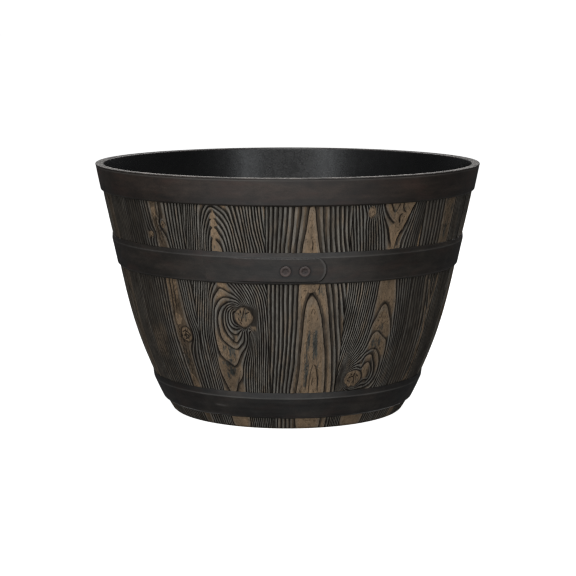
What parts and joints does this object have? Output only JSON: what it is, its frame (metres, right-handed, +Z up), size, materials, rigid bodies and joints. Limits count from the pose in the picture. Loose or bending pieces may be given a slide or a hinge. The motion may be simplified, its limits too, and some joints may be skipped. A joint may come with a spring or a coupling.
{
  "type": "planter",
  "caption": "Round half-barrel planter: tapered grained wood staves bound by dark riveted hoops, with a black lift-out lining and a drain plug.",
  "frame": {"origin": "centre of the foot circle, on the floor", "axes": "+Z up along the barrel's axis, -Y is the front, where the middle hoop's riveted lap is, +X to the right seen from the front"},
  "size_m": [0.52, 0.52, 0.336],
  "materials": {
    "stave_wood": "wire-brushed softwood, dark stain in the grain, matte",
    "head_wood": "sawn, unfinished",
    "dowel_wood": "turned, unfinished",
    "hoop_iron": "dark brown-black, satin, rubbed edges",
    "rivet_iron": "dark reddish brown, satin",
    "liner_plastic": "satin black moulding",
    "plug_rubber": "matte black"
  },
  "bodies": {
    "barrel": {"stave_01": "stave_wood", "stave_02": "stave_wood", "stave_03": "stave_wood", "stave_04": "stave_wood", "stave_05": "stave_wood", "stave_06": "stave_wood", "stave_07": "stave_wood", "stave_08": "stave_wood", "stave_09": "stave_wood", "stave_10": "stave_wood", "stave_11": "stave_wood", "stave_12": "stave_wood", "stave_13": "stave_wood", "stave_14": "stave_wood", "head_board_1": "head_wood", "head_board_2": "head_wood", "head_board_3": "head_wood", "head_board_4": "head_wood", "head_board_5": "head_wood", "head_dowels": "dowel_wood", "hoop_top": "hoop_iron", "hoop_middle": "hoop_iron", "hoop_bottom": "hoop_iron", "hoop_top_rivets": "rivet_iron", "hoop_middle_rivets": "rivet_iron", "hoop_bottom_rivets": "rivet_iron"},
    "liner": {"liner": "liner_plastic"},
    "drain_plug": {"drain_plug": "plug_rubber"}
  },
  "joints": [
    {"name": "liner_lift", "type": "slide", "parent": "barrel", "child": "liner", "axis": [0, 0, 1], "range_m": [0, 0.34]},
    {"name": "drain_plug_pull", "type": "slide", "parent": "liner", "child": "drain_plug", "axis": [0, 0, 1], "range_m": [0, 0.05]}
  ]
}
